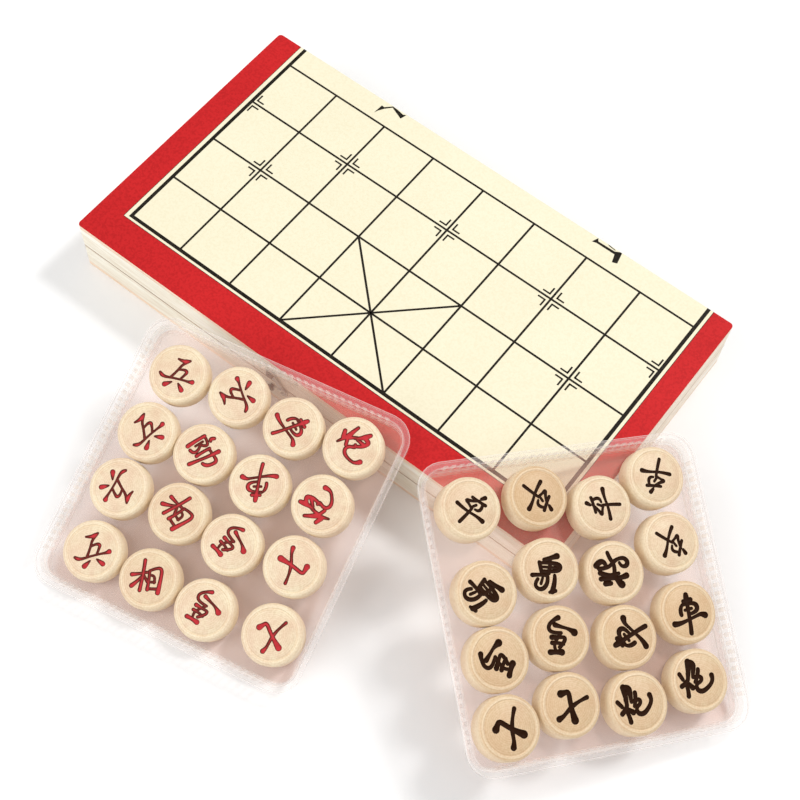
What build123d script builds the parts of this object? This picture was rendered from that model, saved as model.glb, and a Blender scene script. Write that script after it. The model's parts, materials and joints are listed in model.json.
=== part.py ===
from build123d import *
import os
from math import asin, cos, degrees, hypot, radians, sin, tan

# A folding xiangqi box: two shallow wooden cases hinged at the river edge, closed, with half
# of the board printed on each outer face. Its two clear thermoformed trays lie in front,
# leaning on the box, each with the sixteen turned wooden pieces of one side.
# Millimetres and degrees. X runs along the river, Y from the front to the hinges, Z up.
# The origin is the centre of the face that the closed box stands on.

# Turned pieces
piece_diameter = 27.6
piece_height = 11.2
piece_edge_in = 1.4       # how far the worn edge cuts into the face
piece_edge_down = 2.0     # and down the side
piece_gap = 2.0           # between two pieces of a tidy row

# Thermoformed trays
tray_wall = 0.8
tray_height = 12.0
tray_draft = 4.0          # outward lean of the walls, degrees
pocket_play = 3.3         # from the outer pieces to the pocket wall
pocket_radius = 7.0
step_height = 6.0         # height of the ledge half way up the wall
step_width = 1.2
flange_width = 2.1
lip_drop = 2.2            # turned-down edge of the flange
rib_pitch = 3.7
rib_width = 1.6
rib_depth = 0.9
rib_foot = 1.4            # from the tray's underside to the foot of a rib

# Wooden box
half_height = 17.0        # one case, from its printed face to the seam
rail_thickness = 6.0
corner_rabbet = 3.0       # left of a long rail's thickness where a side rail's end seats
corner_radius = 2.0
panel_thickness = 2.5
print_thickness = 0.3
seam_gap = 0.6
fold_gap = 0.3            # between the two back rails when the board lies open
tray_clearance = 0.75     # beside and between the trays when they lie in the box
depth_play = 4.05         # in front of and behind the trays in the box

# Butt hinges, let into the seam faces of the back rails
hinge_end_distance = 50.0 # from an end of the box to the middle of a hinge
hinge_length = 26.0
leaf_width = 5.2
leaf_thickness = 0.8
pin_radius = 0.75
knuckle_radius = 1.8
hinge_fit = 0.05          # radial running clearance on the pin
knuckle_gap = 0.3
nail_length = 5.0
nail_radius = 0.6
nail_head_radius = 1.1
nail_fit = 0.02
nail_spread = 14.0        # between the two nails of one leaf
nail_inset = 3.4          # from the hinge axis to the nails

# Swing latch on the front rails
latch_x = -18.0
latch_pivot_drop = 10.0   # from the top of the box to the pivot nail
latch_reach = 12.0        # from the pivot nail to the stud nail
latch_open_angle = 35.0   # how far the hook hangs aside when it is released
hook_thickness = 0.9
hook_eye_radius = 2.7
hook_arm_width = 3.0
hook_arm_shift = 1.1      # the arm passes beside the stud, because the mouth is on one side
hook_end_radius = 3.0
stud_radius = 1.0
stud_head_radius = 2.1
stud_head_height = 0.9
stud_head_round = 0.6
stud_bite = 4.5           # how deep a latch nail goes into its rail
hook_fit = 0.05           # radial, on the pivot nail
mouth_clearance = 0.25    # around the stud in the hook's mouth
hook_gap = 0.2            # from the wood to the hook, and from the hook to a nail's head

# How the trays lie in front of the box
rest_gap = 0.3            # between things that only touch
red_yaw = 12.0
red_contact_x = 57.8      # where the right edge of its floor lies on the front edge of the box
red_overlap = 9.9         # how far its floor reaches over the box from there
black_yaw = 50.5
black_tilt = 19.0
black_y_shift = -4.6      # the tray's middle, from the front of the box

# Where the pieces have slid to, as (right, far) from an even 4 by 4 grid. Far row first.
red_rows = [
    [("soldier_1", 0.5, -1.0), ("soldier_2", 0.5, 1.0),
     ("chariot_1", 0.0, -1.5), ("cannon_1", -1.0, 1.5)],
    [("soldier_3", -0.7, -1.0), ("general", -2.3, 0.5),
     ("chariot_2", -2.5, -1.5), ("cannon_2", -2.5, 2.0)],
    [("soldier_4", -0.5, 0.5), ("elephant_1", -0.5, 1.5),
     ("horse_1", -2.0, -1.0), ("advisor_1", -2.0, 2.0)],
    [("soldier_5", 1.5, 0.0), ("elephant_2", 1.0, -0.5),
     ("horse_2", 0.0, -2.0), ("advisor_2", 2.5, 1.0)],
]
black_rows = [
    [("soldier_1", 0.0, 0.5), ("soldier_2", 2.0, 1.5),
     ("soldier_3", 1.5, -6.5), ("soldier_4", 0.5, 3.0)],
    [("elephant_1", 0.0, -6.1), ("elephant_2", 0.5, -0.5),
     ("general", 1.0, -6.0), ("soldier_5", 1.0, 3.0)],
    [("horse_1", -0.5, -4.4), ("horse_2", -1.0, 0.0),
     ("chariot_1", 0.5, -4.5), ("chariot_2", 1.5, 1.5)],
    [("advisor_1", -1.5, -3.0), ("advisor_2", -2.5, 1.5),
     ("cannon_1", -1.0, -3.0), ("cannon_2", 0.0, 1.5)],
]

# Sizes that follow from the ones above
piece_pitch = piece_diameter + piece_gap
pocket_half = (len(red_rows) - 1) * piece_pitch / 2 + piece_diameter / 2 + pocket_play
foot_half = pocket_half + tray_wall
foot_radius = pocket_radius + tray_wall
lean = tan(radians(tray_draft))
rim_half = foot_half + step_width + tray_height * lean + flange_width
box_length = 4 * rim_half + 3 * tray_clearance + 2 * rail_thickness
box_depth = 2 * (rim_half + depth_play + rail_thickness)
box_height = 2 * half_height
seam_z = half_height
front_y = -box_depth / 2
back_y = box_depth / 2
hinge_y = back_y + fold_gap / 2
hinge_offset = box_length / 2 - hinge_end_distance
rail_height = half_height - print_thickness - panel_thickness - seam_gap / 2
upper = 1
lower = -1


def save(name, shape):
    shape.label = name
    export_step(shape, "parts/" + name + ".step")


def block(x0, x1, y0, y1, z0, z1):
    return Pos((x0 + x1) / 2, (y0 + y1) / 2, (z0 + z1) / 2) * Box(x1 - x0, y1 - y0, z1 - z0)


def band(side, near, far):
    """Low and high Z of a layer from near to far of the seam, on the upper or lower side."""
    return sorted((seam_z + side * near, seam_z + side * far))


def case_outline(z0, z1):
    return Pos(0, 0, z0) * extrude(RectangleRounded(box_length, box_depth, corner_radius), z1 - z0)


def along_x(x0, x1, y, z, radius):
    return Pos((x0 + x1) / 2, y, z) * Rot(0, 90, 0) * Cylinder(radius, x1 - x0)


# Wooden cases

def long_rail(side, y_out):
    """Front or back rail, full length, with a rabbet at each end for a side rail."""
    toward_middle = -1 if y_out > 0 else 1
    y_in = y_out + toward_middle * rail_thickness
    y_seat = y_out + toward_middle * corner_rabbet
    z0, z1 = band(side, seam_gap / 2, seam_gap / 2 + rail_height)
    rail = case_outline(z0, z1) & block(-box_length, box_length, *sorted((y_out, y_in)), z0, z1)
    for end in (-1, 1):
        x_in = end * (box_length / 2 - rail_thickness)
        x_out = end * box_length
        rail -= block(*sorted((x_in, x_out)), *sorted((y_seat, y_in)), z0, z1)
    return rail


def side_rail(side, end):
    """Left or right rail, seated in the rabbets of the two long rails."""
    z0, z1 = band(side, seam_gap / 2, seam_gap / 2 + rail_height)
    x_out = end * box_length / 2
    x_in = x_out - end * rail_thickness
    return block(*sorted((x_in, x_out)), front_y + corner_rabbet, back_y - corner_rabbet, z0, z1)


def panel(side):
    near = seam_gap / 2 + rail_height
    return case_outline(*band(side, near, near + panel_thickness))


def print_sheet(side):
    return case_outline(*band(side, half_height - print_thickness, half_height))


# Hinges

def knuckle_spans(side, x):
    """The upper leaf has the two outer knuckles, the lower leaf the middle one."""
    start = x - hinge_length / 2
    third = hinge_length / 3
    spans = [(start + k * third, start + (k + 1) * third) for k in range(3)]
    return spans[0::2] if side == upper else spans[1:2]


def nail_points(side, x):
    z = seam_z + side * seam_gap / 2
    return [(x + shift, hinge_y - nail_inset, z) for shift in (-nail_spread / 2, nail_spread / 2)]


def nail(side, point, fit):
    """Countersunk nail driven from the seam face into the rail."""
    sink = nail_head_radius - nail_radius
    profile = Polyline(
        (0, 0), (nail_head_radius + fit, 0), (nail_radius + fit, sink),
        (nail_radius + fit, nail_length), (0, nail_length),
        close=True,
    )
    body = revolve(Plane.XZ * make_face(profile), Axis.Z)
    turn = Rot(0, 0, 0) if side == upper else Rot(180, 0, 0)
    return Pos(*point) * turn * body


def leaf_plate(side, x):
    z0, z1 = band(side, seam_gap / 2, seam_gap / 2 + leaf_thickness)
    return block(x - hinge_length / 2, x + hinge_length / 2, hinge_y - leaf_width, hinge_y, z0, z1)


def knuckle_room(x):
    reach = hinge_length / 2 + knuckle_gap
    return along_x(x - reach, x + reach, hinge_y, seam_z, knuckle_radius + knuckle_gap)


def hinge_leaf(side, x):
    leaf = leaf_plate(side, x)
    own = knuckle_spans(side, x)
    for x0, x1 in knuckle_spans(-side, x):
        leaf -= along_x(x0 - knuckle_gap, x1 + knuckle_gap, hinge_y, seam_z, knuckle_radius + knuckle_gap)
    for x0, x1 in own:
        leaf += along_x(x0 + knuckle_gap / 2, x1 - knuckle_gap / 2, hinge_y, seam_z, knuckle_radius)
    leaf -= along_x(x - hinge_length, x + hinge_length, hinge_y, seam_z, pin_radius + hinge_fit)
    for point in nail_points(side, x):
        leaf -= nail(side, point, nail_fit)
    return leaf


def hinge_pin(x):
    return along_x(x - hinge_length / 2, x + hinge_length / 2, hinge_y, seam_z, pin_radius)


def back_rail(side):
    """Back rail with the mortises, knuckle grooves and nail holes of both hinges."""
    rail = long_rail(side, back_y)
    for x in (-hinge_offset, hinge_offset):
        rail -= leaf_plate(side, x)
        rail -= knuckle_room(x)
        for point in nail_points(side, x):
            rail -= nail(side, point, nail_fit)
    return rail


def hinge_nails(side):
    points = nail_points(side, -hinge_offset) + nail_points(side, hinge_offset)
    return Compound(children=[nail(side, point, 0) for point in points])


# Latch

def latch_nail(z):
    """Round-headed nail through the front rail, with room for the hook under its head."""
    stem = hook_thickness + 2 * hook_gap
    shaft = Pos(latch_x, front_y - stem, z) * Rot(-90, 0, 0) * Cylinder(
        stud_radius, stem + stud_bite, align=(Align.CENTER, Align.CENTER, Align.MIN)
    )
    head = Cylinder(stud_head_radius, stud_head_height, align=(Align.CENTER, Align.CENTER, Align.MIN))
    head = fillet(head.edges().group_by(Axis.Z)[-1], stud_head_round)
    return shaft + Pos(latch_x, front_y - stem, z) * Rot(90, 0, 0) * head


def front_rail(side):
    rail = long_rail(side, front_y)
    z = pivot_z if side == upper else stud_z
    hole = Rot(90, 0, 0) * Cylinder(stud_radius + nail_fit, stud_bite)
    return rail - Pos(latch_x, front_y + stud_bite / 2, z) * hole


def latch_hook():
    """Stamped hook: an eye on the pivot nail, an arm, and an end with a mouth for the stud."""
    mouth = stud_radius + mouth_clearance
    shape = Circle(hook_eye_radius)
    shape += Pos(hook_arm_shift, -latch_reach / 2) * Rectangle(hook_arm_width, latch_reach)
    shape += Pos(0, -latch_reach) * Circle(hook_end_radius)
    shape -= Circle(stud_radius + hook_fit)
    shape -= Pos(0, -latch_reach) * Circle(mouth)
    shape -= Pos(-hook_end_radius, -latch_reach) * Rectangle(2 * hook_end_radius, 2 * mouth)
    hook = extrude(Rot(0, 0, latch_open_angle) * shape, hook_thickness)
    return Pos(latch_x, front_y - hook_gap, pivot_z) * Rot(90, 0, 0) * hook


# Trays

def tub(half, radius, z0, z1):
    """Square block with rounded corners that widens upward by the draft."""
    half_here = half + z0 * lean
    face = RectangleRounded(2 * half_here, 2 * half_here, radius)
    return Pos(0, 0, z0) * extrude(face, z1 - z0, taper=-tray_draft)


def tray_ribs():
    """Upright flutes round the outside of the wall, from near the floor to the flange."""
    straight = foot_half - foot_radius
    count = int(straight / rib_pitch)
    rib_top = tray_height - tray_wall
    reach = foot_half + step_width + rib_depth
    ribs = []
    for turn in (0, 90, 180, 270):
        for k in range(-count, count + 1):
            face = Pos(foot_half - tray_wall / 2, k * rib_pitch, rib_foot)
            rib = extrude(Rectangle(2 * (reach - foot_half) + tray_wall, rib_width), rib_top - rib_foot)
            ribs.append(Rot(0, 0, turn) * face * rib)
    return ribs


def tray():
    """Thin formed shell: floor, stepped walls with flutes, flange and turned-down lip."""
    upper_half = foot_half + step_width
    rim_radius = foot_radius + step_width + flange_width
    shell = tub(foot_half, foot_radius, 0, step_height)
    shell += tub(upper_half, foot_radius + step_width, step_height - tray_wall, tray_height)
    rim = Pos(0, 0, tray_height - lip_drop) * extrude(
        RectangleRounded(2 * rim_half, 2 * rim_half, rim_radius), lip_drop
    )
    inside_rim = 2 * (rim_half - tray_wall)
    rim -= Pos(0, 0, tray_height - lip_drop) * extrude(
        RectangleRounded(inside_rim, inside_rim, rim_radius - tray_wall), lip_drop - tray_wall
    )
    shell += rim
    shell += tray_ribs()
    shell -= tub(pocket_half, pocket_radius, tray_wall, tray_height)
    shell -= tub(pocket_half + step_width, pocket_radius + step_width, step_height, tray_height + lip_drop)
    return shell


def piece():
    """Turned disc with both edges worn back."""
    face = piece_diameter / 2 - piece_edge_in
    profile = Polyline(
        (0, 0), (face, 0), (piece_diameter / 2, piece_edge_down),
        (piece_diameter / 2, piece_height - piece_edge_down), (face, piece_height), (0, piece_height),
        close=True,
    )
    return revolve(Plane.XZ * make_face(profile), Axis.Z)


def red_tray_place():
    """Near edge on the table, right edge of the floor on the top front edge of the box."""
    slope = 2 * foot_half - red_overlap
    tilt = degrees(asin(box_height / slope))
    contact = Pos(red_contact_x, front_y, box_height + rest_gap) * Rot(0, 0, red_yaw) * Rot(tilt, 0, 0)
    return contact * Pos(-foot_half, foot_half - slope, 0)


def black_tray_place():
    """Floor on the top right edge of the box, near right corner on the table."""
    tilt = radians(black_tilt)
    fall_x = sin(tilt) * cos(radians(black_yaw))
    fall_y = sin(tilt) * sin(radians(black_yaw))
    corner_drop = (foot_half - foot_radius) * (fall_x + fall_y) + foot_radius * hypot(fall_x, fall_y)
    z = rest_gap + corner_drop
    x = box_length / 2 + (box_height + rest_gap - z) / tan(tilt)
    return Pos(x, front_y + black_y_shift, z) * Rot(0, black_tilt, 0) * Rot(0, 0, black_yaw)


def piece_places(rows):
    """Name and place in the tray of each piece, from its grid square and how it has slid."""
    middle = (len(rows) - 1) / 2
    for row, entries in enumerate(rows):
        for column, (name, right, far) in enumerate(entries):
            x = (column - middle) * piece_pitch + right
            y = (middle - row) * piece_pitch + far
            yield name, Pos(x, y, tray_wall)


pivot_z = box_height - latch_pivot_drop
stud_z = pivot_z - latch_reach

os.makedirs("parts", exist_ok=True)

for side, half in ((upper, "upper"), (lower, "lower")):
    save(half + "_front_rail", front_rail(side))
    save(half + "_back_rail", back_rail(side))
    save(half + "_left_rail", side_rail(side, -1))
    save(half + "_right_rail", side_rail(side, 1))
    save(half + "_panel", panel(side))
    save(half + "_print_sheet", print_sheet(side))
    save(half + "_hinge_nails", hinge_nails(side))
    save("left_hinge_" + half + "_leaf", hinge_leaf(side, -hinge_offset))
    save("right_hinge_" + half + "_leaf", hinge_leaf(side, hinge_offset))

save("left_hinge_pin", hinge_pin(-hinge_offset))
save("right_hinge_pin", hinge_pin(hinge_offset))
save("latch_pivot_nail", latch_nail(pivot_z))
save("latch_stud_nail", latch_nail(stud_z))
save("latch_hook", latch_hook())

tray_shell = tray()
turned_piece = piece()
layouts = (("red", red_tray_place(), red_rows), ("black", black_tray_place(), black_rows))
for colour, place, rows in layouts:
    save(colour + "_tray", place * tray_shell)
    for name, spot in piece_places(rows):
        save(colour + "_" + name, place * spot * turned_piece)

print("box", box_length, box_depth, box_height)
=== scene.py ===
import bpy, bmesh, json, random
from math import acos, atan2, hypot, pi, radians
from mathutils import Matrix, Vector


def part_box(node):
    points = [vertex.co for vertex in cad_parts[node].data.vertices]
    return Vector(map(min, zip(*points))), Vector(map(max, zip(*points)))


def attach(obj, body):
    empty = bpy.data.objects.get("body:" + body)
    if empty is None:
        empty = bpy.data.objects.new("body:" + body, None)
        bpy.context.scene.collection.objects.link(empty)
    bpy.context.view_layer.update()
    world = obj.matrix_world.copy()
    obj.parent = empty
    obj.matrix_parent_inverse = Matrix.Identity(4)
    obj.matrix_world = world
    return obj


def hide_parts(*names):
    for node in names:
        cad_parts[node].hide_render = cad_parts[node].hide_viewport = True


# Folding xiangqi box, with its two clear trays of turned pieces leaning on it.
# Everything is in metres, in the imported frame: X along the river, Y towards the hinges, Z up.

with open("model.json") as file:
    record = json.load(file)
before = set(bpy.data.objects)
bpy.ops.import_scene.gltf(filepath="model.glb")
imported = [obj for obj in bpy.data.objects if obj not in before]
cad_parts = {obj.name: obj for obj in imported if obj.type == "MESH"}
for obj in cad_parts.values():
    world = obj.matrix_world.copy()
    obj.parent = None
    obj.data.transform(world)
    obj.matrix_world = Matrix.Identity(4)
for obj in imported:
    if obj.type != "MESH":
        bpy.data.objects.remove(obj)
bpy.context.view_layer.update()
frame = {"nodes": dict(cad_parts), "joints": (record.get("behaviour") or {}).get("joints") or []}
nodes = frame["nodes"]
joints = {joint["name"]: joint for joint in frame["joints"]}
mm = 0.001
tiny = 1e-6                    # closer than this is the same place


# helpers

def newMaterial(name, **sockets):
    mat = bpy.data.materials.new(name)
    mat.use_nodes = True
    shader = mat.node_tree.nodes["Principled BSDF"]
    for socket, value in sockets.items():
        shader.inputs[socket.replace("_", " ")].default_value = value
    return mat, mat.node_tree, shader


def addNode(tree, kind, **settings):
    node = tree.nodes.new("ShaderNode" + kind)
    for key, value in settings.items():
        if key[0].isupper():
            node.inputs[key.replace("_", " ")].default_value = value
        else:
            setattr(node, key, value)
    return node


def link(tree, *pairs):
    for start, end in pairs:
        tree.links.new(start, end)


def ramp(tree, source, *stops):
    node = addNode(tree, "ValToRGB")
    elements = node.color_ramp.elements
    while len(elements) < len(stops):
        elements.new(0.5)
    for element, (position, colour) in zip(elements, stops):
        element.position = position
        element.color = (*colour, 1)
    link(tree, (source, node.inputs["Fac"]))
    return node.outputs["Color"]


def objectPlace(tree, scale=(1, 1, 1)):
    place = addNode(tree, "Mapping", Scale=scale)
    link(tree, (addNode(tree, "TexCoord").outputs["Object"], place.inputs["Vector"]))
    return place.outputs["Vector"]


def noise(tree, place, **settings):
    node = addNode(tree, "TexNoise", **settings)
    link(tree, (place, node.inputs["Vector"]))
    return node.outputs["Fac"]


def maths(tree, operation, *values):
    node = addNode(tree, "Math", operation=operation)
    for slot, value in zip(node.inputs, values):
        if isinstance(value, (int, float)):
            slot.default_value = value
        else:
            link(tree, (value, slot))
    return node.outputs["Value"]


def mixColour(tree, share, first, second, blend="MIX"):
    node = addNode(tree, "Mix", data_type="RGBA", blend_type=blend)
    for slot, value in zip((node.inputs[0], node.inputs[6], node.inputs[7]), (share, first, second)):
        if isinstance(value, tuple):
            slot.default_value = (*value, 1)
        elif isinstance(value, float):
            slot.default_value = value
        else:
            link(tree, (value, slot))
    return node.outputs[2]


def addBump(tree, shader, height, distance, strength=1.0):
    bump = addNode(tree, "Bump", Distance=distance, Strength=strength)
    link(tree, (height, bump.inputs["Height"]), (bump.outputs["Normal"], shader.inputs["Normal"]))


def keepPiece(name, mesh, body, slot, *mats):
    piece = bpy.data.objects.new(name, mesh)
    bpy.context.scene.collection.objects.link(piece)
    for mat in mats:
        mesh.materials.append(mat)
    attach(piece, body)
    return piece


def coat(node, mat):
    node.data.materials.clear()
    node.data.materials.append(mat)


def meshFrom(name, bm):
    mesh = bpy.data.meshes.new(name)
    bm.to_mesh(mesh)
    bm.free()
    return mesh


def smooth(mesh, angle):
    mesh.polygons.foreach_set("use_smooth", [True] * len(mesh.polygons))
    mesh.set_sharp_from_angle(angle=radians(angle))


def addBlock(bm, low, high, turn=0.0):
    size = [b - a for a, b in zip(low, high)]
    middle = [(a + b) / 2 for a, b in zip(low, high)]
    place = Matrix.Translation(middle) @ Matrix.Rotation(turn, 4, "Z") @ Matrix.Diagonal((*size, 1))
    return bmesh.ops.create_cube(bm, size=1, matrix=place)["verts"]


# finishes

def woodFinish(name, stretch, settings):
    mat, tree, shader = newMaterial(name, Roughness=settings["roughness"])
    place = objectPlace(tree, stretch)
    fibres = noise(tree, place, Scale=settings["fibreScale"], Detail=6.0, Distortion=0.4)
    bands = noise(tree, place, Scale=settings["bandScale"], Detail=3.0, Distortion=1.2)
    base = ramp(tree, bands, (0.3, settings["dark"]), (0.55, settings["mid"]), (0.75, settings["light"]))
    grain = ramp(tree, fibres, (0.35, settings["fibreTint"]), (0.6, (1, 1, 1)))
    colour = mixColour(tree, 0.6, base, grain, "MULTIPLY")
    split = addNode(tree, "SeparateXYZ")
    link(tree, (objectPlace(tree), split.inputs["Vector"]))
    # the wood turns darker brown in a ragged band along the seam height
    fromSeam = maths(tree, "ABSOLUTE", maths(tree, "SUBTRACT", split.outputs["Z"], settings["seamHeight"]))
    ragged = maths(tree, "ADD", noise(tree, objectPlace(tree), Scale=60.0, Detail=2.0), 0.5)
    darkening = maths(tree, "MULTIPLY", maths(tree, "DIVIDE", fromSeam, settings["seamReach"]), ragged)
    share = ramp(tree, darkening, (0.3, (0.85,) * 3), (1.0, (0, 0, 0)))
    colour = mixColour(tree, share, colour, settings["seamTint"])
    link(tree, (colour, shader.inputs["Base Color"]))
    addBump(tree, shader, fibres, settings["bump"])
    return mat


caseLook = {
    "roughness": 0.55,
    "fibreScale": 900.0,
    "bandScale": 150.0,
    "dark": (0.79, 0.72, 0.59),
    "mid": (0.89, 0.85, 0.735),
    "light": (0.94, 0.915, 0.83),
    "fibreTint": (0.84, 0.78, 0.69),
    "bump": 0.06 * mm,
    "seamHeight": 17.0 * mm,         # the edges that meet there are darker
    "seamReach": 0.9 * mm,
    "seamTint": (0.46, 0.32, 0.21),
}
warmLook = dict(caseLook, dark=(0.79, 0.59, 0.44), mid=(0.91, 0.71, 0.56), light=(0.95, 0.80, 0.67))
paleLook = dict(caseLook, dark=(0.86, 0.74, 0.60), mid=(0.96, 0.86, 0.74), light=(0.98, 0.93, 0.85))
alongX, alongY = (0.08, 1, 1), (1, 0.08, 1)          # the way the fibres run
railWood = woodFinish("railWood", alongX, caseLook)
sideWood = woodFinish("sideWood", alongY, paleLook)
panelWood = woodFinish("panelWood", alongX, warmLook)


def metalFinish(name, colour, roughness):
    mat, tree, shader = newMaterial(name, Metallic=1.0)
    place = objectPlace(tree)
    smudge = noise(tree, place, Scale=260.0, Detail=4.0)
    scratches = noise(tree, place, Scale=2400.0, Detail=2.0)
    darkening = ramp(tree, smudge, (0.35, tuple(c * 0.72 for c in colour)), (0.65, colour))
    gloss = maths(tree, "MULTIPLY_ADD", smudge, 0.25, roughness)
    link(tree, (darkening, shader.inputs["Base Color"]), (gloss, shader.inputs["Roughness"]))
    addBump(tree, shader, scratches, 0.02 * mm)
    return mat


steel = metalFinish("steel", (0.62, 0.60, 0.56), 0.22)
darkSteel = metalFinish("darkSteel", (0.20, 0.17, 0.15), 0.30)

for half in ("upper", "lower"):
    for name, mat in (("front_rail", railWood), ("back_rail", railWood), ("left_rail", sideWood),
                      ("right_rail", sideWood), ("panel", panelWood), ("hinge_nails", steel)):
        coat(nodes[half + "_" + name], mat)
for name, node in nodes.items():
    if "_hinge_" in name and not name.endswith("_nails"):
        coat(node, steel)
for name, mat in (("latch_hook", steel), ("latch_pivot_nail", darkSteel), ("latch_stud_nail", darkSteel)):
    coat(nodes[name], mat)
print("finishes on the case and its fittings")


# printed faces

boardPrint = {
    "columnPitch": 31.11 * mm,
    "firstColumn": -122.9 * mm,
    "rowPitch": 29.97 * mm,
    "firstRow": -56.4 * mm,
    "redLeft": -126.0 * mm,       # inner edges of the red margin
    "redRight": 128.6 * mm,
    "redFront": -58.7 * mm,
    "lineWidth": 1.1 * mm,
    "borderWidth": 1.9 * mm,
    "edgeWidth": 0.3 * mm,        # dark line where the red ends
    "markGap": 2.1 * mm,          # from a line to the bracket marks beside it
    "markArm": 4.0 * mm,
    "markWidth": 0.9 * mm,
    "layer": 0.008 * mm,          # one layer of ink
    "sink": 0.1 * mm,             # how far the ink's blocks go into the sheet
    "cornerRadius": 2.0 * mm,
}


def printFinish(name, colour, speckle, gloss=0.2):
    mat, tree, shader = newMaterial(name, Roughness=0.5, Specular_IOR_Level=gloss)
    place = objectPlace(tree)
    grain = noise(tree, place, Scale=900.0, Detail=3.0)
    cloud = noise(tree, place, Scale=24.0, Detail=3.0)
    dots = ramp(tree, grain, (0.38, speckle), (0.56, colour))
    tinted = mixColour(tree, 0.35, dots, ramp(tree, cloud, (0.3, speckle), (0.7, colour)))
    link(tree, (tinted, shader.inputs["Base Color"]))
    addBump(tree, shader, noise(tree, place, Scale=420.0, Detail=2.0), 0.02 * mm, 0.5)
    return mat


creamPaper = printFinish("creamPaper", (0.83, 0.775, 0.58), (0.78, 0.72, 0.52))
redInk = printFinish("redInk", (0.57, 0.017, 0.019), (0.44, 0.011, 0.013), 0.12)
lineInk = printFinish("lineInk", (0.008, 0.006, 0.004), (0.025, 0.020, 0.014), 0.1)


# slivers of the river legend that reach this half, as outlines in millimetres
riverMarks = [
    [(-70.3, 67.1), (-69.9, 73.3), (-68.3, 73.1), (-65.1, 76.3), (-62.0, 76.1), (-58.0, 75.4),
     (-56.4, 76.2), (-57.4, 72.6), (-61.6, 74.2), (-64.8, 75.5), (-67.7, 72.2), (-69.4, 69.4)],
    [(60.4, 72.8), (61.9, 76.4), (63.0, 74.8), (72.4, 75.0), (75.0, 76.4), (75.9, 76.4),
     (77.3, 70.0), (74.8, 69.0), (73.3, 73.5), (62.8, 73.5)],
    [(67.6, 76.4), (68.9, 76.4), (72.6, 75.9), (72.2, 75.5), (68.6, 75.9)],
]


def printedSheet(half):
    p = boardPrint
    low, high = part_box(half + "_print_sheet")
    out = 1 if half == "upper" else -1          # the way the printed face looks
    printed, inner = (high.z, low.z) if out > 0 else (low.z, high.z)
    layers = 4
    redFace, paperFace, lineFace = range(3)
    bm = bmesh.new()
    height = abs(printed - inner) - layers * p["layer"]
    middle = (inner + printed - out * layers * p["layer"]) / 2
    base = addBlock(bm, (low.x, low.y, middle - height / 2), (high.x, high.y, middle + height / 2))
    corners = [e for e in bm.edges if abs(e.verts[0].co.z - e.verts[1].co.z) > height / 2]
    bmesh.ops.bevel(bm, geom=corners, offset=p["cornerRadius"], offset_type="OFFSET", affect="EDGES",
                    segments=6, profile=0.5, material=-1)
    bm.normal_update()
    for face in bm.faces:                       # bare paper at the cut edge
        face.material_index = redFace if abs(face.normal.z) > 0.5 else paperFace

    def levels(layer):
        return sorted((printed - out * (layers - layer) * p["layer"], printed - out * p["sink"]))

    def ink(layer, mat, x0, x1, y0, y1, turn=0.0):
        z = levels(layer)
        verts = addBlock(bm, (x0, y0, z[0]), (x1, y1, z[1]), turn)
        for face in {f for v in verts for f in v.link_faces}:
            face.material_index = mat

    def mark(layer, outline):
        rings = [[bm.verts.new((x * mm, y * mm, z)) for x, y in outline] for z in levels(layer)]
        sides = zip(*rings, rings[0][1:] + rings[0][:1], rings[1][1:] + rings[1][:1])
        faces = [bm.faces.new(ring) for ring in rings]
        faces += [bm.faces.new((a, c, d, b)) for a, b, c, d in sides]
        for face in faces:
            face.material_index = lineFace
        bmesh.ops.recalc_face_normals(bm, faces=faces)

    def line(layer, x0, y0, x1, y1, width):
        reach, cx, cy = hypot(x1 - x0, y1 - y0) / 2, (x0 + x1) / 2, (y0 + y1) / 2
        turn = atan2(y1 - y0, x1 - x0)
        ink(layer, lineFace, cx - reach, cx + reach, cy - width / 2, cy + width / 2, turn)

    columns = [p["firstColumn"] + k * p["columnPitch"] for k in range(9)]
    rows = [p["firstRow"] + k * p["rowPitch"] for k in range(5)]
    river = high.y
    thin, thick = p["lineWidth"], p["borderWidth"]
    ink(1, paperFace, p["redLeft"], p["redRight"], p["redFront"], river)
    for x in (p["redLeft"], p["redRight"]):
        line(2, x, p["redFront"], x, river, p["edgeWidth"])
    line(3, p["redLeft"], p["redFront"], p["redRight"], p["redFront"], p["edgeWidth"])
    for y in rows[1:]:
        line(2, columns[0], y, columns[8], y, thin)
    for x in columns[1:8]:
        line(3, x, rows[0], x, rows[4], thin)
    line(2, columns[0] - thick / 2, rows[0], columns[8] + thick / 2, rows[0], thick)
    for x in (columns[0], columns[8]):
        line(3, x, rows[0] - thick / 2, x, river, thick)
    line(4, columns[3], rows[0], columns[5], rows[2], thin)          # palace
    line(4, columns[5], rows[0], columns[3], rows[2], thin)
    spots = [(columns[k], rows[2]) for k in (1, 7)] + [(columns[k], rows[3]) for k in (0, 2, 4, 6, 8)]
    near, far, width = p["markGap"], p["markGap"] + p["markArm"], p["markWidth"]
    for x, y in spots:
        for sx in (-1, 1):
            if (x == columns[0] and sx < 0) or (x == columns[8] and sx > 0):
                continue
            for sy in (-1, 1):
                line(4, x + sx * near, y + sy * near, x + sx * far, y + sy * near, width)
                line(4, x + sx * near, y + sy * (near - width / 2), x + sx * near, y + sy * far, width)
    if half == "upper":
        for outline in riverMarks:
            mark(2, outline)
    mesh = meshFrom(half + "PrintMesh", bm)
    piece = keepPiece(half + "_printed_face", mesh, half + "_case", "board_print",
                      redInk, creamPaper, lineInk)
    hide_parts(half + "_print_sheet")


for half in ("upper", "lower"):
    printedSheet(half)
print("printed faces")


# turned pieces

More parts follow.
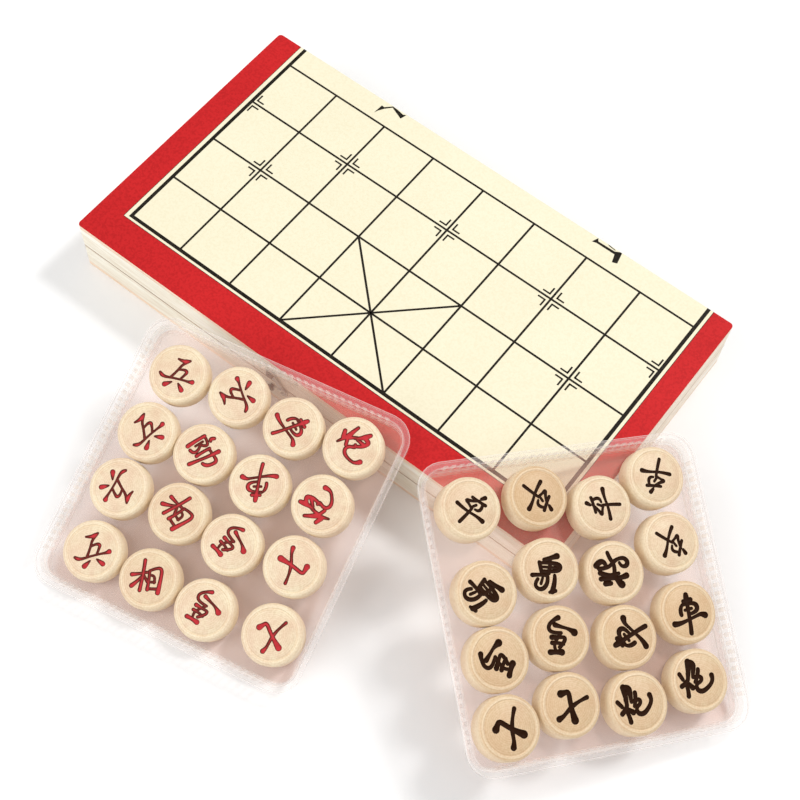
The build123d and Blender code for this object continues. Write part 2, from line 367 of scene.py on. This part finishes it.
pieceHeight, pieceRadius = 11.2 * mm, 13.8 * mm
pieceLook = {
    "edgeRound": 2.0 * mm,
    "ringRadius": 11.3 * mm,
    "ringWidth": 1.2 * mm,
    "ringDepth": 0.4 * mm,
    "steps": 72,
    "reach": 12.9 * mm,           # the strokes below are in shares of this
    "strokeDepth": 0.55,          # depth of a stroke over half its width
    "redStroke": 0.80 * mm,       # half width
    "blackStroke": 0.95 * mm,
    "light": (0.86, 0.75, 0.55),
    "dark": (0.77, 0.575, 0.415),
    "ringAndSideLightTint": (0.97, 0.86, 0.66),
    "amber": (0.62, 0.40, 0.20),  # the darker wood that some pieces tend to
    "redPaint": (0.55, 0.038, 0.046),
    "redGrooveShade": (0.135, 0.024, 0.018),
    "paintDepth": 0.48 * mm,      # where the paint has its full colour; shallower groove walls get the dark painted shade
    "latheMarks": 7000.0,         # turning marks, in radians for a metre of radius
    "blackPaint": (0.026, 0.008, 0.002),
    "darkest": ("black", "soldier_2"),
    "darkestTone": 0.75,
    "redTones": {"elephant": 0.20},
    "blackTones": {"soldier": 0.2, "elephant": 0.38, "general": 0.3, "horse": 0.6, "chariot": 0.6,
                   "advisor": 0.58, "cannon": 0.5},
}

# brush strokes of each character: points of (across, up, width), seen upright
strokes = {
    "red_soldier": [
        [(-.13, .51, .7), (.03, .47, 1.1), (.20, .49, 1.5), (.30, .54, .8)],
        [(.25, .51, 1), (.09, .38, .9), (.0, .2, .8), (-.07, .05, .8), (-.20, -.17, .9)],
        [(-.04, .13, .7), (.16, .20, .8), (.32, .14, 1.2), (.25, 0, .8), (.15, -.16, .8)],
        [(-.63, -.11, .9), (-.56, -.18, 1.3), (-.42, -.22, .9), (-.1, -.19, .7), (.3, -.18, .7),
         (.48, -.19, .9), (.59, -.17, 1.5)],
        [(-.13, -.34, .6), (-.22, -.40, 1.1), (-.35, -.48, 1.6)],
        [(.12, -.34, .6), (.20, -.43, 1.3), (.30, -.54, 1.5)],
    ],
    "chariot": [
        [(0, .57, 1.3), (0, .44, 1.7), (0, .28, 1.1), (0, -.2, 1), (0, -.5, 1.1), (-.02, -.72, 1.2)],
        [(-.13, .36, 1.1), (.02, .37, 1), (.15, .40, 1.2)],
        [(-.17, .27, .7), (-.32, .14, 1.2), (-.28, -.08, 1.1)],
        [(-.2, .23, .7), (.08, .29, .8), (.33, .24, 1.3), (.36, .05, 1.2), (.18, -.06, .9),
         (.02, -.09, .8)],
        [(-.12, .06, .8), (.14, .10, .8)],
        [(-.58, -.37, 1.5), (-.42, -.38, 1.2), (-.1, -.29, .8), (.3, -.16, .8), (.46, -.11, 1.1),
         (.60, -.17, 1.6)],
    ],
    "red_cannon": [
        [(-.36, .58, 1.1), (-.38, .34, 1.3), (-.37, .17, 1.7), (-.43, -.03, 1.2), (-.5, -.26, .8)],
        [(-.60, .18, 1.3), (-.48, .0, 1.5)],
        [(-.13, .33, .9), (-.30, .14, 1.3)],
        [(-.33, .06, 1.2), (-.21, -.12, 1.2)],
        [(.13, .72, 1.3), (.07, .57, 1.8), (-.03, .4, 1.2), (-.17, .24, .9)],
        [(.07, .5, 1.2), (.28, .54, 1.6), (.28, .36, 1.3), (.17, .17, 1.2), (.0, .03, 1)],
        [(-.07, .28, 1), (.2, .33, 1.3)],
        [(.02, .12, 1.1), (.14, .07, 1), (-.1, -.07, 1.2), (-.13, -.24, 1.2), (.0, -.37, 1.2),
         (.27, -.38, 1), (.5, -.32, 1.1), (.58, -.15, 1.6)],
    ],
    "red_general": [
        [(-.26, .61, 1.1), (-.34, .47, 1.5), (-.24, .45, 1)],
        [(-.51, .34, 1.2), (-.51, 0, 1.1), (-.47, -.34, 1.4)],
        [(-.46, .34, .9), (-.2, .35, 1), (-.16, .2, 1), (-.3, .08, .9)],
        [(-.3, .08, .9), (-.14, -.08, 1), (-.16, -.3, 1.1), (-.3, -.33, 1.1)],
        [(-.36, .2, .8), (-.34, -.1, .8)],
        [(.22, .54, 1.4), (.2, .1, 1), (.15, -.3, 1.1), (.12, -.58, 1.3)],
        [(-.03, .3, 1.1), (-.04, 0, 1), (-.01, -.22, 1.2)],
        [(-.02, .28, .9), (.25, .32, .9), (.5, .34, 1.3), (.51, .1, 1.1), (.44, -.1, 1.3),
         (.33, -.15, 1.1)],
    ],
    "red_elephant": [
        [(-.6, .08, 1.3), (-.3, .14, .8), (-.08, .22, 1)],
        [(-.22, .62, 1.2), (-.2, .2, 1), (-.24, -.42, 1.2)],
        [(-.2, .12, .9), (-.36, -.12, 1), (-.55, -.3, 1.4)],
        [(-.18, .1, .9), (-.02, -.1, 1)],
        [(0, .27, 1), (.03, 0, .9), (.02, -.36, 1.2)],
        [(0, .28, .9), (.2, .4, .9), (.43, .42, 1.2), (.43, 0, 1.1), (.4, -.42, 1.5)],
        [(.06, .13, .8), (.24, .18, .9), (.22, -.1, .9)],
        [(.06, -.1, .8), (.24, -.08, .9)],
        [(.04, -.33, .9), (.36, -.3, 1)],
    ],
    "horse": [
        [(-.15, .63, 1.3), (-.30, .54, .9), (-.46, .34, 1), (-.43, .17, 1), (-.25, .11, .9), (0, .15, .9)],
        [(-.24, .38, 1.3), (-.02, .35, .8), (.3, .32, .8), (.46, .24, 1.8)],
        [(-.02, .13, .9), (-.1, -.02, .8), (-.22, -.28, .9), (-.14, -.42, .8)],
        [(-.31, -.04, 1.3), (-.05, 0, .8), (.17, .04, 1), (.14, -.14, 1), (0, -.32, 1)],
        [(-.28, -.22, 1.1), (-.08, -.17, .8), (.12, -.2, .9)],
        [(-.31, -.53, 1.4), (-.1, -.48, .9), (.09, -.47, 1.6)],
    ],
    "advisor": [
        [(-.42, .25, 1.8), (-.30, .32, 1.2), (-.17, .40, 1.2), (-.04, .08, 1.2), (.1, -.2, 1.2),
         (.25, -.44, 1.9)],
        [(.49, .39, 1.1), (.3, .24, .7), (.05, -.03, 1.2), (-.10, -.3, .9), (-.18, -.45, 1),
         (-.29, -.55, 1.5)],
    ],
    "black_soldier": [
        [(.10, .60, 1.1), (.04, .48, .8)],
        [(-.22, .30, .8), (.05, .35, .7), (.28, .42, .9)],
        [(.03, .38, .7), (-.12, .20, .7), (-.34, .07, 1), (-.15, .05, .6), (0, .0, .7)],
        [(.20, .37, .7), (.28, .22, .9), (.22, .08, .8), (.12, .06, .6)],
        [(.05, .20, .7), (-.02, .02, .7)],
        [(-.46, -.22, 1), (-.1, -.2, .7), (.35, -.05, .7), (.57, -.04, 1.2)],
        [(.02, .02, .7), (.04, -.2, .8), (.03, -.62, .9)],
    ],
    "black_elephant": [
        [(.22, .46, 1.5), (.02, .38, .9), (-.22, .28, 1.1)],
        [(.02, .37, .8), (-.04, .22, .8)],
        [(-.39, .18, 1), (-.34, .0, 1), (-.30, -.13, 1)],
        [(-.38, .16, .8), (-.05, .22, .9), (.36, .18, 1.3), (.33, .0, 1.2), (.1, -.08, .9),
         (-.28, -.10, .9)],
        [(0, .24, .9), (-.02, .05, 1), (-.04, -.14, 1)],
        [(-.28, .04, .7), (.25, .07, .8)],
        [(-.62, -.27, 1.1), (-.38, -.22, .8), (-.12, -.22, 1)],
        [(-.1, -.16, .9), (-.04, -.4, 1), (-.18, -.68, 1.1), (-.40, -.72, 1), (-.53, -.55, .9),
         (-.42, -.38, .9)],
        [(-.25, -.32, .7), (-.30, -.52, .8)],
        [(.17, -.2, .9), (.2, -.42, 1.2), (.11, -.74, 1.3)],
        [(.02, -.77, .8), (.22, -.7, 1)],
    ],
    "black_general": [
        [(-.3, .62, 1), (-.22, .42, 1.1), (-.08, .28, 1), (-.04, .0, 1.1), (-.08, -.2, 1)],
        [(-.72, .16, 1.5), (-.6, .32, 1.4), (-.40, .3, 1.2), (-.36, .16, 1)],
        [(-.62, .06, 1.1), (-.3, .10, 1), (-.1, .3, .9), (.05, .42, .9)],
        [(-.06, .37, .8), (.2, .5, 1), (.42, .42, 1.2), (.42, .22, 1.2), (.2, .17, .9), (.13, .31, .8)],
        [(-.58, -.08, 1.3), (-.3, -.16, 1.2), (-.08, -.12, 1.1), (.1, -.05, .9)],
        [(-.56, -.28, 1.2), (-.2, -.22, 1.1), (.15, -.22, 1), (.38, -.11, 1.5)],
        [(-.40, -.43, 1.3), (-.2, -.40, 1.2)],
        [(-.05, -.1, 1.1), (.03, -.28, 1.4), (.2, -.42, 1.9)],
    ],
    "black_cannon": [
        [(-.76, .2, 1.1), (-.64, .02, 1)],
        [(-.70, -.2, 1.2), (-.54, -.1, 1.1), (-.43, .05, 1.1), (-.46, .22, 1)],
        [(-.54, -.1, 1), (-.46, -.3, 1), (-.47, -.52, 1.2)],
        [(-.42, -.12, 1), (-.3, -.24, 1.4)],
        [(-.43, .62, 1.5), (-.42, .34, 1.4), (-.44, .12, 1)],
        [(-.4, .62, 1.1), (-.22, .58, 1.5), (-.24, .34, 1.2), (-.27, .1, .9)],
        [(-.4, .42, .9), (-.22, .44, .9)],
        [(-.06, .36, 1.1), (-.08, .14, 1.1), (-.2, -.06, .9)],
        [(-.25, .1, .9), (.04, .16, 1.1), (.05, -.02, 1), (-.16, -.12, .9), (-.14, -.32, 1.2),
         (.06, -.38, 1.2), (.32, -.2, 1), (.48, .02, 1), (.43, .17, 1.3)],
    ],
}

# how far each piece is turned in its tray, counter-clockwise
turns = {
    "red": {
        "soldier_1": 9, "soldier_2": 133, "chariot_1": -46, "cannon_1": -24,
        "soldier_3": 64, "general": -37, "chariot_2": -165, "cannon_2": 116,
        "soldier_4": -96, "elephant_1": -35, "horse_1": -30, "advisor_1": -127,
        "soldier_5": 37, "elephant_2": 17, "horse_2": -14, "advisor_2": 25,
    },
    "black": {
        "soldier_1": -55, "soldier_2": -135, "soldier_3": 84, "soldier_4": 155,
        "elephant_1": -63, "elephant_2": -15, "general": -11, "soldier_5": -128,
        "horse_1": 53, "horse_2": -18, "chariot_1": 111, "chariot_2": -3,
        "advisor_1": 27, "advisor_2": -25, "cannon_1": 4, "cannon_2": -9,
    },
}
trayTurn = {"red": radians(12), "black": radians(50.5)}
# the general's centre from the middle of its tray's floor, which is a hair below the pieces
generalPlace = {"red": (-17.1 * mm, 15.3 * mm, 5.63 * mm), "black": (15.8 * mm, 8.8 * mm, 5.63 * mm)}


def turnedBlank(height, radius):
    p = pieceLook
    ring, wide, deep = p["ringRadius"], p["ringWidth"] / 2, p["ringDepth"]
    chain = [(0, -height / 2), (radius, -height / 2), (radius, height / 2), (ring + wide, height / 2),
             (ring, height / 2 - deep), (ring - wide, height / 2), (0, height / 2)]
    bm = bmesh.new()
    verts = [bm.verts.new((x, 0, z)) for x, z in chain]
    for a, b in zip(verts, verts[1:]):
        bm.edges.new((a, b))
    bmesh.ops.spin(bm, geom=bm.verts[:] + bm.edges[:], cent=(0, 0, 0), axis=(0, 0, 1),
                   angle=2 * pi, steps=p["steps"], use_merge=True, use_duplicate=False)
    bmesh.ops.remove_doubles(bm, verts=bm.verts[:], dist=tiny)
    bmesh.ops.recalc_face_normals(bm, faces=bm.faces[:])
    rims = [e for e in bm.edges if all(hypot(v.co.x, v.co.y) > radius - tiny for v in e.verts)
            and abs(e.verts[0].co.z - e.verts[1].co.z) < tiny]
    bmesh.ops.bevel(bm, geom=rims, offset=p["edgeRound"], offset_type="OFFSET", affect="EDGES",
                    segments=4, profile=0.5, material=-1)
    return bm


def strokeCutter(lines, halfWidth, top):
    p = pieceLook
    bm = bmesh.new()
    for points in lines:
        curve = bpy.data.curves.new("stroke", "CURVE")
        curve.dimensions = "3D"
        curve.bevel_depth = halfWidth
        curve.bevel_resolution = 2
        curve.resolution_u = 4
        curve.use_fill_caps = True
        spline = curve.splines.new("NURBS")
        spline.points.add(len(points) - 1)
        for point, (x, y, width) in zip(spline.points, points):
            point.co = (x * p["reach"], y * p["reach"], 0, 1)
            point.radius = width
        spline.order_u = min(3, len(points))
        spline.use_endpoint_u = True
        holder = bpy.data.objects.new("stroke", curve)
        tube = bpy.data.meshes.new_from_object(holder)
        bm.from_mesh(tube)
        for x, y, width in (points[0], points[-1]):
            bmesh.ops.create_uvsphere(bm, u_segments=12, v_segments=6, radius=halfWidth * width,
                                      matrix=Matrix.Translation((x * p["reach"], y * p["reach"], 0)))
        bpy.data.objects.remove(holder)
        bpy.data.curves.remove(curve)
        bpy.data.meshes.remove(tube)
    bmesh.ops.remove_doubles(bm, verts=bm.verts[:], dist=1e-7)
    bmesh.ops.scale(bm, vec=(1, 1, p["strokeDepth"]), verts=bm.verts[:])
    bmesh.ops.translate(bm, vec=(0, 0, top), verts=bm.verts[:])
    bmesh.ops.recalc_face_normals(bm, faces=bm.faces[:])
    return bm


def pieceWoodFinish():
    p = pieceLook
    mat, tree, shader = newMaterial("pieceWood", Roughness=0.5)
    local = addNode(tree, "Attribute", attribute_name="turned").outputs["Vector"]
    tone = addNode(tree, "Attribute", attribute_name="tone").outputs["Fac"]
    split = addNode(tree, "SeparateXYZ")
    link(tree, (local, split.inputs["Vector"]))
    x, y = split.outputs["X"], split.outputs["Y"]
    squares = [maths(tree, "MULTIPLY", side, side) for side in (x, y)]
    reach = maths(tree, "SQRT", maths(tree, "ADD", *squares))
    wobble = maths(tree, "MULTIPLY", noise(tree, local, Scale=70.0, Detail=2.0), 9.0)
    lathe = maths(tree, "SINE", maths(tree, "MULTIPLY_ADD", reach, p["latheMarks"], wobble))
    fibre = noise(tree, local, Scale=1300.0, Detail=4.0)
    cloud = noise(tree, local, Scale=90.0, Detail=3.0, Distortion=0.8)
    base = ramp(tree, cloud, (0.3, p["dark"]), (0.7, p["light"]))
    toned = mixColour(tree, tone, base, p["amber"])
    middle = p["ringRadius"] + p["ringWidth"] / 2
    fromRing = maths(tree, "ABSOLUTE", maths(tree, "SUBTRACT", reach, middle))
    band = maths(tree, "MULTIPLY", fromRing, 1 / p["ringWidth"])
    paleness = ramp(tree, band, (0.35, (0.35, 0.35, 0.35)), (0.75, (0, 0, 0)))
    toned = mixColour(tree, paleness, toned, p["ringAndSideLightTint"])
    # painted light: towards the turned side the wood is mixed with the pale tint, lighter than the face
    share = maths(tree, "DIVIDE", reach, pieceRadius)
    paintedSideLight = ramp(tree, share, (0.93, (0, 0, 0)), (0.995, (0.6, 0.6, 0.6)))
    toned = mixColour(tree, paintedSideLight, toned, p["ringAndSideLightTint"])
    marks = maths(tree, "MULTIPLY_ADD", lathe, 0.5, 0.5)
    rings = ramp(tree, marks, (0.0, (0.93, 0.90, 0.86)), (1.0, (1, 1, 1)))
    grain = ramp(tree, fibre, (0.35, (0.90, 0.86, 0.80)), (0.6, (1, 1, 1)))
    colour = mixColour(tree, 1.0, mixColour(tree, 1.0, toned, rings, "MULTIPLY"), grain, "MULTIPLY")
    link(tree, (colour, shader.inputs["Base Color"]))
    height = maths(tree, "MULTIPLY_ADD", lathe, 0.4, fibre)
    addBump(tree, shader, height, 0.05 * mm, 0.6)
    return mat


def paintFinish(name, paint, edge, top):
    mat, tree, shader = newMaterial(name, Roughness=0.5, Specular_IOR_Level=0.06)
    local = addNode(tree, "Attribute", attribute_name="turned").outputs["Vector"]
    split = addNode(tree, "SeparateXYZ")
    link(tree, (local, split.inputs["Vector"]))
    depth = maths(tree, "SUBTRACT", top, split.outputs["Z"])
    depth = maths(tree, "MULTIPLY", depth, 1 / pieceLook["paintDepth"])
    # painted shade: the groove walls near the face take the dark edge colour, the deeper floor the full
    # paint
    colour = ramp(tree, depth, (0.74, edge), (1.0, paint))
    patchy = noise(tree, local, Scale=700.0, Detail=3.0)
    shade = ramp(tree, patchy, (0.3, (0.8, 0.8, 0.8)), (0.6, (1, 1, 1)))
    link(tree, (mixColour(tree, 1.0, colour, shade, "MULTIPLY"), shader.inputs["Base Color"]))
    addBump(tree, shader, patchy, 0.04 * mm, 0.5)
    return mat


pieceWood = pieceWoodFinish()
paints = {
    "red": paintFinish("redPaint", pieceLook["redPaint"], pieceLook["redGrooveShade"], pieceHeight / 2),
    "black": paintFinish("blackPaint", pieceLook["blackPaint"], pieceLook["blackPaint"], pieceHeight / 2),
}


def carvedMesh(colour, rank):
    lines = strokes.get(colour + "_" + rank) or strokes[rank]
    blank = bpy.data.objects.new("blank", meshFrom("blank", turnedBlank(pieceHeight, pieceRadius)))
    tool = bpy.data.objects.new("tool", meshFrom("tool", strokeCutter(
        lines, pieceLook[colour + "Stroke"], pieceHeight / 2)))
    blank.data.materials.append(pieceWood)
    tool.data.materials.append(paints[colour])
    for ob in (blank, tool):
        bpy.context.scene.collection.objects.link(ob)
    carve = blank.modifiers.new("carve", "BOOLEAN")
    carve.operation = "DIFFERENCE"
    carve.object = tool
    carve.solver = "EXACT"
    carve.use_self = True
    carve.material_mode = "TRANSFER"
    depsgraph = bpy.context.evaluated_depsgraph_get()
    mesh = bpy.data.meshes.new_from_object(blank.evaluated_get(depsgraph))
    bpy.data.objects.remove(blank)
    bpy.data.objects.remove(tool)
    return mesh


def trayFrame(colour):
    axis = Vector(joints[colour + "_general_lift"]["axis"]).normalized()
    lean = acos(axis.z)
    spin = Matrix.Rotation(trayTurn[colour], 4, "Z")
    if colour == "red":
        return spin @ Matrix.Rotation(lean, 4, "X")
    return Matrix.Rotation(lean, 4, "Y") @ spin


random.seed(7)
for colour in ("red", "black"):
    carved = {}
    for name, turn in turns[colour].items():
        rank = name.split("_")[0]
        if rank not in carved:
            carved[rank] = carvedMesh(colour, rank)
        mesh = carved[rank].copy()
        mesh.name = colour + "_" + name + "_mesh"
        count = len(mesh.vertices)
        local = [0.0] * (3 * count)
        mesh.vertices.foreach_get("co", local)
        mesh.attributes.new("turned", "FLOAT_VECTOR", "POINT").data.foreach_set("vector", local)
        tone = pieceLook[colour + "Tones"].get(rank, 0.02) + random.uniform(0, 0.08)
        if (colour, name) == pieceLook["darkest"]:
            tone = pieceLook["darkestTone"]
        mesh.attributes.new("tone", "FLOAT", "POINT").data.foreach_set("value", [tone] * count)
        smooth(mesh, 35)
        low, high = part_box(colour + "_" + name)
        spin = Matrix.Rotation(radians(turn), 4, "Z")
        mesh.transform(Matrix.Translation((low + high) / 2) @ trayFrame(colour) @ spin)
        piece = keepPiece(colour + "_" + name + "_turned", mesh, colour + "_" + name, "piece_wood")
        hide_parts(colour + "_" + name)
print("turned pieces")


# clear trays

trayLook = {
    "floorHalf": 61.5 * mm,
    "floorRadius": 7.0 * mm,
    "stepHeight": 5.2 * mm,
    "stepWidth": 0.84 * mm,
    "upperWall": 6.0 * mm,
    "flange": 3.32 * mm,
    "lipDrop": 2.2 * mm,
    "lean": 0.07,                 # the walls' outward run for their height
    "fluteCount": 29,
    "fluteDepth": 0.5 * mm,
    "fluteInset": 0.35 * mm,
    "fluteFoot": 1.2 * mm,        # plain strip below the flutes
    "sheet": 0.77 * mm,
    "bead": 0.35 * mm,            # rounded edges, given the whiter sheet as a painted highlight
}

# looks of the sheet: colour, opacity from facing to grazing, and a painted glow standing in for light that
# comes through it
sheetLooks = {
    # floor sheet: the tray's own pink tint, made darker and browner as painted shade between the pieces
    "clearSheetShaded": ((0.84, 0.55, 0.45), (0.17, 0.23, 0.34), 0.12),
    # rim: paler and whiter than the floor sheet, painted light on the walls and flange
    "clearRimLit": ((0.97, 0.88, 0.84), (0.08, 0.16, 0.36), 0.05),
    # beads and upper flutes: the whitest, most opaque sheet, a painted highlight along the edges
    "clearBeadHighlight": ((0.98, 0.92, 0.88), (0.34, 0.40, 0.58), 0.05),
}


def clearFinish(name, tint, alphas, paintedGlow):
    mat, tree, shader = newMaterial(name, Roughness=0.12, IOR=1.5, Emission_Strength=paintedGlow)
    facing = addNode(tree, "LayerWeight", Blend=0.35).outputs["Facing"]
    stops = [(place, (value,) * 3) for place, value in zip((0.0, 0.55, 1.0), alphas)]
    cloud = noise(tree, objectPlace(tree), Scale=60.0, Detail=3.0)
    colour = ramp(tree, cloud, (0.3, tuple(0.9 * c for c in tint)), (0.7, tint))
    link(tree, (ramp(tree, facing, *stops), shader.inputs["Alpha"]), (colour, shader.inputs["Base Color"]),
         (colour, shader.inputs["Emission Color"]))
    addBump(tree, shader, noise(tree, objectPlace(tree), Scale=45.0, Detail=2.0), 0.2 * mm, 0.5)
    return mat


sheetFinishes = [clearFinish(name, *look) for name, look in sheetLooks.items()]


def trayShell():
    p = trayLook
    straight = p["floorHalf"] - p["floorRadius"]

    def outward(v):
        corner = [max(-straight, min(straight, c)) for c in v.co.xy]
        return (v.co.xy - Vector(corner)).normalized()

    def nextRing(edges, grow, rise):
        made = bmesh.ops.extrude_edge_only(bm, edges=edges)["geom"]
        for v in (g for g in made if isinstance(g, bmesh.types.BMVert)):
            v.co += Vector((*(outward(v) * grow), rise))
        faces = [g for g in made if isinstance(g, bmesh.types.BMFace)]
        return [g for g in made if isinstance(g, bmesh.types.BMEdge)], faces

    bm = bmesh.new()
    bmesh.ops.create_grid(bm, x_segments=1, y_segments=1, size=p["floorHalf"])
    bmesh.ops.bevel(bm, geom=bm.verts[:], offset=p["floorRadius"], offset_type="OFFSET", affect="VERTICES",
                    segments=6, profile=0.5, material=-1)
    sides = [e for e in bm.edges if e.calc_length() > straight]
    bmesh.ops.subdivide_edges(bm, edges=sides, cuts=2 * p["fluteCount"])
    rim = [e for e in bm.edges if e.is_boundary]
    flutes = []
    bead, step, lean, foot = p["bead"], p["stepHeight"], p["lean"], p["fluteFoot"]
    sheet, rimLitSheet, beadHighlightSheet = range(3)
    for grow, rise, mat in (
        (0.0, bead, beadHighlightSheet),
        (lean * foot, foot, sheet),
        (lean * (step - foot), step - foot - 2 * bead, sheet),
        (bead / 2, bead, beadHighlightSheet),
        (p["stepWidth"] - bead, 0.0, rimLitSheet),
        (bead / 2, bead, beadHighlightSheet),
        (lean * p["upperWall"], p["upperWall"] - 2 * bead, rimLitSheet),
        (bead, bead, beadHighlightSheet),
        (p["flange"] - 2 * bead, 0.0, rimLitSheet),
        (bead, -bead, beadHighlightSheet),
        (0.0, bead - p["lipDrop"], rimLitSheet),
    ):
        rim, faces = nextRing(rim, grow, rise)
        for f in faces:
            f.material_index = mat
        if rise > foot:                             # only the two fluted walls rise so far
            flutes += [f for f in faces if min(abs(c) for c in f.calc_center_median().xy) < straight]
    chosen = []
    for f in flutes:
        centre = f.calc_center_median()
        along = centre.y if abs(centre.x) > abs(centre.y) else centre.x
        index = round((along + straight) / (2 * straight) * (2 * p["fluteCount"] + 1) - 0.5)
        if index % 2:
            chosen.append(f)
    bmesh.ops.recalc_face_normals(bm, faces=bm.faces[:])
    bmesh.ops.inset_individual(bm, faces=chosen, thickness=p["fluteInset"], depth=-p["fluteDepth"])
    for f in chosen:
        if f.material_index == rimLitSheet:
            f.material_index = beadHighlightSheet            # the upper flutes take the whiter sheet as a painted highlight
    return bm


for colour in ("red", "black"):
    p = trayLook
    mesh = meshFrom(colour + "TrayMesh", trayShell())
    smooth(mesh, 40)
    low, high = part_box(colour + "_general")
    turn = trayFrame(colour)
    mesh.transform(Matrix.Translation((low + high) / 2 - turn @ Vector(generalPlace[colour])) @ turn)
    piece = keepPiece(colour + "_tray_shell", mesh, colour + "_tray", "clear_tray", *sheetFinishes)
    wall = piece.modifiers.new("wall", "SOLIDIFY")
    wall.thickness = p["sheet"]
    wall.offset = -1
    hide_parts(colour + "_tray")
print("clear trays")


# floor, light and camera

studio = {
    "floorColour": (0.90, 0.90, 0.90),
    "world": 0.60,
    "keyPlace": (0.55, 0.95, 1.5),
    "keySize": 0.35,
    "keyPower": 17.0,
    "fillPlace": (-0.6, -1.3, 1.1),
    "fillSize": 1.6,
    "fillPower": 17.0,
    "lookAt": (0.02, -0.05, 0.02),
}

bm = bmesh.new()
bmesh.ops.create_grid(bm, x_segments=1, y_segments=1, size=4.0)
floorMat = newMaterial("floor", Roughness=0.7, Base_Color=(*studio["floorColour"], 1))[0]
floor = bpy.data.objects.new("floor", meshFrom("floor", bm))
floor.data.materials.append(floorMat)
bpy.context.scene.collection.objects.link(floor)

world = bpy.data.worlds.new("studio")
world.use_nodes = True
world.node_tree.nodes["Background"].inputs["Color"].default_value = (1, 1, 1, 1)
world.node_tree.nodes["Background"].inputs["Strength"].default_value = studio["world"]
bpy.context.scene.world = world


def areaLight(name, place, size, power):
    light = bpy.data.lights.new(name, "AREA")
    light.size = size
    light.energy = power
    holder = bpy.data.objects.new(name, light)
    holder.location = place
    aim = Vector(studio["lookAt"]) - Vector(place)
    holder.rotation_euler = aim.to_track_quat("-Z", "Y").to_euler()
    bpy.context.scene.collection.objects.link(holder)


areaLight("key", studio["keyPlace"], studio["keySize"], studio["keyPower"])
areaLight("fill", studio["fillPlace"], studio["fillSize"], studio["fillPower"])

lens = {
    "place": (0.2161, -0.3104, 0.6408),
    "right": (0.78957, 0.61290, 0.03053),
    "up": (-0.55711, 0.69505, 0.45446),
    "focal": 66.9,                # in millimetres, as the sensor
    "sensor": 36.0,
}
right = Vector(lens["right"]).normalized()
back = right.cross(Vector(lens["up"])).normalized()
up = back.cross(right)
camData = bpy.data.cameras.new("camera")
camData.lens = lens["focal"]
camData.sensor_width = lens["sensor"]
camera = bpy.data.objects.new("camera", camData)
camera.matrix_world = Matrix.Translation(lens["place"]) @ Matrix((right, up, back)).transposed().to_4x4()
bpy.context.scene.collection.objects.link(camera)
bpy.context.scene.camera = camera
bpy.context.scene.view_settings.view_transform = "Standard"
print("floor, lights and camera")
